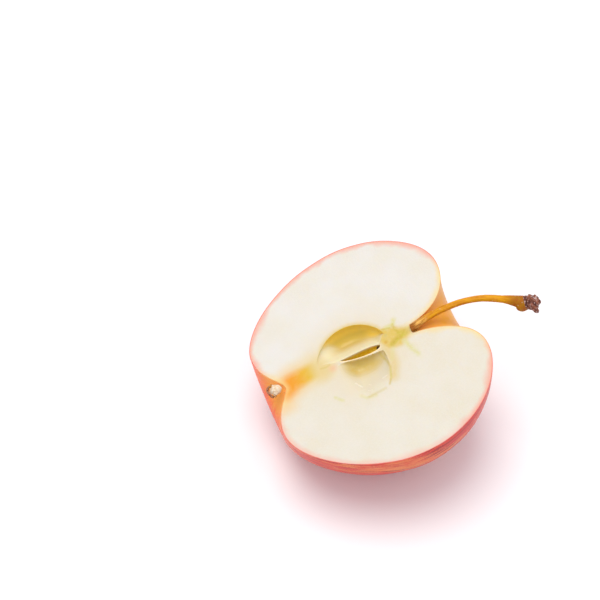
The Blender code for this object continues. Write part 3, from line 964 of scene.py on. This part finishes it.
# Painted highlight colour for the wet wall's glints.
GLINT_PALE = linear(238, 228, 206)
LIP_CREAM = linear(246, 222, 174)
BLUSH_PINK = linear(231, 152, 129)
BLUSH_YELLOW = linear(230, 208, 140)
EDGE_RED = linear(222, 96, 88)
EDGE_OCHRE = linear(222, 160, 82)

SKIN_YELLOW = linear(242, 140, 70)
SKIN_SALMON = linear(236, 90, 56)
SKIN_RED = linear(208, 16, 12)
SKIN_DEEP = linear(166, 0, 4)
SKIN_ROSE = linear(222, 48, 36)
SKIN_DOT = linear(246, 190, 156)
PIT_OCHRE = linear(238, 170, 52)
PIT_TAN = linear(238, 168, 84)
PIT_FLOOR = linear(224, 184, 90)
BASIN_ORANGE = linear(255, 96, 36)
BASIN_YELLOW = linear(255, 174, 56)
CRUMB_OLIVE = linear(150, 100, 10)

STEM_GOLD = linear(226, 160, 0)
STEM_AMBER = linear(202, 124, 0)
STEM_PEACH = linear(230, 156, 56)
STEM_DOT = linear(244, 226, 196)
KNOB_OLIVE = linear(168, 112, 0)
KNOB_RED = linear(168, 84, 16)
FRAY_BROWN = linear(160, 94, 20)
FRAY_TAN = linear(240, 184, 92)
SCAR_DARK = linear(84, 40, 30)
SCAR_BROWN = linear(150, 92, 70)
SCAR_PALE = linear(206, 176, 168)
SEPAL_DARK = linear(112, 50, 26)
SEPAL_BROWN = linear(184, 130, 98)
SEPAL_OLIVE = linear(170, 128, 30)
TUFT_TAN = linear(226, 196, 156)
TUFT_PALE = linear(238, 224, 200)

FLOOR_GREY = (0.95, 0.95, 0.96, 1)
FLOOR_WHITE = (0.97, 0.97, 0.98, 1)


class Shader:
    """Short calls that build one material's nodes; places and depths are in millimetres."""

    def __init__(self, name):
        self.material = bpy.data.materials.new(name)
        self.material.use_nodes = True
        self.tree = self.material.node_tree
        self.surface = self.tree.nodes["Principled BSDF"]

    def feed(self, socket, source):
        if isinstance(source, bpy.types.NodeSocket):
            self.tree.links.new(source, socket)
        else:
            socket.default_value = source

    def add(self, kind, **settings):
        node = self.tree.nodes.new(kind)
        for key, setting in settings.items():
            setattr(node, key, setting)
        return node

    def fill(self, node, *sources):
        """Feeds a node's first inputs in their order and gives its first output."""
        for socket, source in zip(node.inputs, sources):
            self.feed(socket, source)
        return node.outputs[0]

    def value(self, name):
        return self.add("ShaderNodeAttribute", attribute_name=name).outputs["Fac"]

    def place(self, name="fruit"):
        return self.add("ShaderNodeAttribute", attribute_name=name).outputs["Vector"]

    def join(self, x, y, z=0.0):
        return self.fill(self.add("ShaderNodeCombineXYZ"), x, y, z)

    def maths(self, operation, a, b):
        return self.fill(self.add("ShaderNodeMath", operation=operation), a, b)

    def plus(self, a, b):
        return self.maths("ADD", a, b)

    def times(self, a, b):
        return self.maths("MULTIPLY", a, b)

    def swing(self, source, size):
        """Noise turned into a value that runs to both sides of zero."""
        return self.times(self.maths("SUBTRACT", source, 0.5), size)

    def noise(self, vector, scale, detail, roughness=0.55):
        node = self.add("ShaderNodeTexNoise")
        self.feed(node.inputs["Vector"], vector)
        self.feed(node.inputs["Scale"], scale)
        self.feed(node.inputs["Detail"], detail)
        self.feed(node.inputs["Roughness"], roughness)
        return node.outputs["Fac"]

    def cells(self, vector, scale):
        node = self.add("ShaderNodeTexVoronoi")
        self.feed(node.inputs["Vector"], vector)
        self.feed(node.inputs["Scale"], scale)
        return node.outputs["Distance"]

    def ramp(self, source, low, high, start=0.0, end=1.0):
        node = self.add("ShaderNodeMapRange", interpolation_type="SMOOTHSTEP")
        return self.fill(node, source, low, high, start, end)

    def mix(self, share, a, b):
        node = self.add("ShaderNodeMix", data_type="RGBA")
        self.feed(node.inputs["Factor"], share)
        self.feed(node.inputs[6], a)
        self.feed(node.inputs[7], b)
        return node.outputs[2]

    def bump(self, *layers):
        """Small relief from (height, depth in mm) layers."""
        normal = None
        for height, depth in layers:
            node = self.add("ShaderNodeBump")
            self.feed(node.inputs["Strength"], 1.0)
            self.feed(node.inputs["Distance"], depth * MM)
            self.feed(node.inputs["Height"], height)
            if normal:
                self.feed(node.inputs["Normal"], normal)
            normal = node.outputs["Normal"]
        self.feed(self.surface.inputs["Normal"], normal)

    def finish(self, colour, roughness, **constants):
        self.feed(self.surface.inputs["Base Color"], colour)
        self.feed(self.surface.inputs["Roughness"], roughness)
        for name, setting in constants.items():
            self.surface.inputs[name.replace("_", " ")].default_value = setting
        return self.material


def flesh_material():
    """Cream flesh, with the stains, the core's colours, the painted shade, light and glints of its
    chambers and the pink edge laid over it in turn.
    """
    s = Shader("apple_flesh_cut")
    place = s.place()
    cloud = s.noise(place, 0.09, 3)
    grain = s.noise(place, 1.7, 4, 0.6)
    fine = s.noise(place, 5.0, 2, 0.6)
    near_lobe = s.value("near_lobe")
    pale = s.mix(near_lobe, FLESH_WHITE, FLESH_PALE)
    cream = s.mix(near_lobe, FLESH_PALE, FLESH_CREAM)
    colour = s.mix(s.ramp(cloud, 0.3, 0.7), pale, cream)
    colour = s.mix(s.ramp(grain, 0.35, 0.75, 0.0, 0.35), colour, FLESH_GRAIN)
    colour = s.mix(s.times(s.value("warm"), 0.6), colour, FLESH_WARM)
    smudge = s.noise(place, 0.55, 4, 0.6)
    thread = s.noise(place, 1.3, 4, 0.6)
    wide = s.mix(s.value("stain_end"), STAIN_PEACH, STAIN_PALE)
    seeped = s.maths("MAXIMUM", s.value("seep"), s.value("stain_halo"))
    colour = s.mix(s.times(seeped, 0.8), colour, wide)
    stain = s.times(s.value("stain"), s.ramp(smudge, 0.2, 0.6, 0.88, 1.0))
    colour = s.mix(stain, colour, s.mix(s.value("stain_end"), STAIN_ORANGE, STAIN_YELLOW))
    colour = s.mix(s.times(s.value("tint"), s.ramp(smudge, 0.25, 0.6, 0.8, 1.0)), colour, CORE_TINT)
    colour = s.mix(s.times(s.value("ray"), s.ramp(thread, 0.3, 0.55, 0.5, 1.0)), colour, RAY_GREEN)
    colour = s.mix(s.value("salmon"), colour, SPOT_SALMON)
    colour = s.mix(s.times(s.value("grey_spot"), 0.7), colour, SPOT_GREY)
    olive = s.mix(s.ramp(smudge, 0.4, 0.6), CORE_GREEN, CORE_OLIVE)
    colour = s.mix(s.times(s.value("olive"), s.ramp(thread, 0.3, 0.55, 0.6, 1.0)), colour, olive)
    colour = s.mix(s.times(s.value("spot"), 0.7), colour, SPOT_BROWN)
    colour = s.mix(s.times(s.value("pale_wall"), 0.85), colour, WALL_PALE)
    # Tan across the far wall's middle, partly painted shade.
    colour = s.mix(s.value("wall_tan_and_shade"), colour, WALL_TAN)
    # Mustard on the chambers' steep walls: partly the core wall's own colour, partly painted shade.
    # Under the far rim and at its right end it turns to painted light.
    mustard_and_shade = s.times(s.value("mustard_and_shade"), s.ramp(smudge, 0.2, 0.7, 0.85, 1.0))
    colour = s.mix(mustard_and_shade, colour, s.mix(s.value("wall_painted_light"), WALL_MUSTARD, WALL_MUSTARD_PAINTED_LIGHT))
    # Painted highlights: pale glints on the near chamber's wet wall, over small ridges from the bump.
    glint = s.ramp(s.times(s.value("glint"), s.ramp(thread, 0.3, 0.6, 0.4, 1.6)), 0.25, 0.6)
    colour = s.mix(s.times(glint, 0.7), colour, GLINT_PALE)
    # The slit's colour, deeper with depth: partly the core's own colour, partly painted shade.
    slit = s.mix(s.ramp(thread, 0.4, 0.6), SLIT_OLIVE, SLIT_AMBER)
    colour = s.mix(s.value("slit"), colour, slit)
    # Painted shadow at the slit's deep right end.
    colour = s.mix(s.value("dark"), colour, SLIT_SHADOW_DARK)
    colour = s.mix(s.value("lip"), colour, LIP_CREAM)
    rim, run = s.value("rim"), s.value("run")
    pit = s.ramp(run, PIT_RUN, PIT_RUN - 10)
    basin = s.ramp(run, BASIN_RUN, BASIN_RUN + 10)
    yellow_end = s.maths("MAXIMUM", pit, basin)
    patch = s.noise(place, 0.16, 2)
    reach = s.ramp(patch, 0.3, 0.75, 1.4, 3.2)
    blush = s.times(s.ramp(s.maths("DIVIDE", rim, reach), 1.0, -0.15), s.value("blush"))
    colour = s.mix(blush, colour, s.mix(yellow_end, BLUSH_PINK, BLUSH_YELLOW))
    edge = s.ramp(s.plus(rim, s.times(grain, 0.2)), 0.4, 0.12)
    colour = s.mix(edge, colour, s.mix(yellow_end, EDGE_RED, EDGE_OCHRE))
    wet = s.ramp(s.value("mustard_and_shade"), 0.0, 0.35, 0.5, 0.26)
    s.bump((grain, 0.05), (fine, 0.02), (glint, 0.05))
    return s.finish(
        colour, wet, Specular_IOR_Level=0.35,
        Subsurface_Weight=0.25, Subsurface_Radius=(0.004, 0.0028, 0.0014), Subsurface_Scale=0.5,
    )


def skin_material():
    """Red, stippled and streaked from stem to calyx over peach, with ochre in both hollows."""
    s = Shader("apple_skin_striped")
    place = s.place()
    turn, run = s.value("turn"), s.value("run")
    turned = s.plus(turn, s.times(s.noise(place, 0.05, 2), 0.16))
    broad = s.noise(s.join(s.times(turned, 4.0), s.times(run, 0.022)), 1.0, 2, 0.5)
    streak = s.noise(s.join(s.times(turned, 17.0), s.times(run, 0.05), 3.0), 1.0, 3, 0.6)
    thin = s.noise(s.join(s.times(turned, 52.0), s.times(run, 0.12), 8.0), 1.0, 2, 0.6)
    bold = s.noise(s.join(s.times(turned, 26.0), s.times(run, 0.06), 21.0), 1.0, 2, 0.5)
    mottle = s.noise(place, 0.35, 4, 0.6)
    stipple = s.noise(place, 3.2, 3, 0.7)
    amount = s.times(broad, 0.26)
    for layer, share in ((streak, 0.2), (thin, 0.24), (mottle, 0.08), (stipple, 0.22)):
        amount = s.plus(amount, s.times(layer, share))
    ground = s.mix(s.ramp(broad, 0.4, 0.6), SKIN_YELLOW, SKIN_SALMON)
    red = s.mix(s.ramp(mottle, 0.35, 0.65), SKIN_RED, SKIN_ROSE)
    colour = s.mix(s.ramp(amount, 0.42, 0.53), ground, red)
    crumbled = s.plus(bold, s.swing(stipple, 0.3))
    colour = s.mix(s.times(s.ramp(crumbled, 0.56, 0.68), 0.85), colour, SKIN_DEEP)
    dots = s.ramp(s.cells(place, 0.34), 0.11, 0.04)
    colour = s.mix(s.times(dots, 0.6), colour, SKIN_DOT)
    ragged = s.plus(run, s.swing(streak, 34.0))
    ragged = s.plus(ragged, s.swing(stipple, 10.0))
    pit = s.ramp(ragged, PIT_RUN + 5.0, PIT_RUN - 3.0)
    colour = s.mix(pit, colour, s.mix(s.ramp(mottle, 0.3, 0.7), PIT_OCHRE, PIT_TAN))
    colour = s.mix(s.ramp(run, 4.5, 1.0), colour, PIT_FLOOR)
    ragged = s.plus(run, s.swing(thin, 16.0))
    basin = s.mix(s.ramp(ragged, BASIN_RUN + 1.0, BASIN_RUN + 8.0), BASIN_ORANGE, BASIN_YELLOW)
    colour = s.mix(s.times(s.ramp(ragged, BASIN_RUN - 8.0, BASIN_RUN + 3.0), 0.9), colour, basin)
    crumbs = s.ramp(s.noise(place, 1.1, 4, 0.65), 0.6, 0.68)
    near_calyx = s.ramp(run, BASIN_RUN + 8.0, BASIN_RUN + 14.0)
    colour = s.mix(s.times(s.times(crumbs, near_calyx), 0.75), colour, CRUMB_OLIVE)
    s.bump((mottle, 0.05), (dots, 0.02))
    return s.finish(
        colour, s.ramp(mottle, 0.3, 0.7, 0.36, 0.44),
        Specular_IOR_Level=0.12, IOR=1.4, Coat_Weight=0.25, Coat_Roughness=0.16,
    )


def stem_material():
    """Golden bark with fibres along it, torn and brown at its foot, dark and flaky at the scar."""
    s = Shader("stem_bark_gold")
    place = s.place()
    along = s.value("along")
    side = s.join(s.value("side_x"), s.value("side_y"), s.value("side_z"))
    drift = s.join(s.times(along, 0.12), s.times(along, 0.02), 0.0)
    combined = s.fill(s.add("ShaderNodeVectorMath", operation="ADD"), side, drift)
    fibre = s.noise(combined, 2.6, 4, 0.6)
    spots = s.noise(place, 0.8, 4, 0.6)
    crumbs = s.noise(place, 2.6, 5, 0.7)
    colour = s.mix(s.ramp(fibre, 0.35, 0.65), STEM_GOLD, STEM_AMBER)
    colour = s.mix(s.ramp(spots, 0.5, 0.7, 0.0, 0.6), colour, STEM_PEACH)
    olive = s.mix(s.ramp(spots, 0.35, 0.7), KNOB_OLIVE, KNOB_RED)
    colour = s.mix(s.value("knob"), colour, olive)
    lenticel = s.ramp(s.cells(place, 0.75), 0.16, 0.08)
    colour = s.mix(s.times(lenticel, 0.35), colour, STEM_DOT)
    torn = s.plus(s.times(fibre, 0.7), s.times(crumbs, 0.3))
    frayed = s.mix(s.ramp(torn, 0.4, 0.58), FRAY_BROWN, FRAY_TAN)
    colour = s.mix(s.ramp(s.plus(along, s.times(crumbs, 3.0)), 8.5, 3.5), colour, frayed)
    colour = s.mix(s.ramp(s.plus(along, s.times(fibre, 2.0)), 3.2, 1.4), colour, FRAY_BROWN)
    blotch = s.noise(place, 0.95, 3, 0.6)
    bark = s.mix(s.ramp(blotch, 0.4, 0.6), SCAR_DARK, SCAR_BROWN)
    bark = s.mix(s.times(s.ramp(s.noise(place, 1.6, 3, 0.5), 0.54, 0.66), 0.85), bark, SCAR_PALE)
    scarred = s.ramp(s.plus(s.value("woody"), s.times(crumbs, 0.3)), 0.45, 0.75)
    colour = s.mix(scarred, colour, bark)
    s.bump((fibre, 0.07), (crumbs, 0.04))
    return s.finish(colour, s.ramp(spots, 0.3, 0.7, 0.42, 0.6), Specular_IOR_Level=0.22)


def calyx_material():
    """Dry brown sepals round a pale tuft."""
    s = Shader("calyx_dry_remains")
    place = s.place()
    crumbs = s.noise(place, 1.7, 4, 0.65)
    dark = s.mix(s.ramp(crumbs, 0.35, 0.65), SEPAL_DARK, SEPAL_BROWN)
    inner = s.mix(s.ramp(crumbs, 0.4, 0.6), SEPAL_OLIVE, SEPAL_BROWN)
    dark = s.mix(s.value("outer"), inner, dark)
    pale = s.mix(s.ramp(crumbs, 0.36, 0.62), TUFT_TAN, TUFT_PALE)
    colour = s.mix(s.value("pale"), dark, pale)
    s.bump((crumbs, 0.12))
    return s.finish(colour, 0.85, Specular_IOR_Level=0.2)


def floor_material():
    s = Shader("pale_floor")
    mist = s.noise(s.place("position"), 3.0, 2)
    colour = s.mix(mist, FLOOR_GREY, FLOOR_WHITE)
    return s.finish(colour, 0.7, Specular_IOR_Level=0.1)


def make_floor():
    mesh = bpy.data.meshes.new("floor")
    corners = [(-1, -1, 0), (1, -1, 0), (1, 1, 0), (-1, 1, 0)]
    mesh.from_pydata([Vector(corner) * FLOOR_HALF for corner in corners], [], [(0, 1, 2, 3)])
    mesh.materials.append(floor_material())
    return link("floor", mesh)


def make_camera():
    data = bpy.data.cameras.new("camera")
    data.lens = VIEW_LENS
    data.sensor_width = SENSOR_WIDTH
    data.clip_start = 0.01
    camera = link("camera", data)
    turned = Matrix((VIEW_RIGHT, VIEW_UP, VIEW_BACK)).transposed().to_4x4()
    camera.matrix_world = Matrix.Translation(VIEW_FROM) @ turned
    bpy.context.scene.camera = camera


def make_light():
    sun = bpy.data.lights.new("key", "SUN")
    sun.energy = SUN_ENERGY
    sun.angle = SUN_ANGLE
    sun.color = SUN_COLOUR
    key = link("key", sun)
    key.rotation_euler = SUN_FROM.to_track_quat("Z", "Y").to_euler()
    world = bpy.data.worlds.new("surround")
    world.use_nodes = True
    nodes, links = world.node_tree.nodes, world.node_tree.links
    direction = nodes.new("ShaderNodeTexCoord")
    parts = nodes.new("ShaderNodeSeparateXYZ")
    links.new(direction.outputs["Generated"], parts.inputs[0])
    height = nodes.new("ShaderNodeMapRange")
    for name, setting in (("From Max", SKY_HIGH_FROM), ("To Min", SKY_LOW), ("To Max", SKY_HIGH)):
        height.inputs[name].default_value = setting
    links.new(parts.outputs["Z"], height.inputs["Value"])
    sky = nodes["Background"]
    sky.inputs["Color"].default_value = SKY_COLOUR
    links.new(height.outputs["Result"], sky.inputs["Strength"])
    bpy.context.scene.world = world
    bpy.context.scene.view_settings.view_transform = "Standard"


pieces = (
    (make_apple(skin_material(), flesh_material()), "apple_half", "flesh"),
    (make_stem(stem_material()), "stem", "stem"),
    (make_calyx(calyx_material()), "calyx", "calyx"),
)
for piece, node, finish in pieces:
    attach(piece, "root")
    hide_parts(node)

make_floor()
make_camera()
make_light()
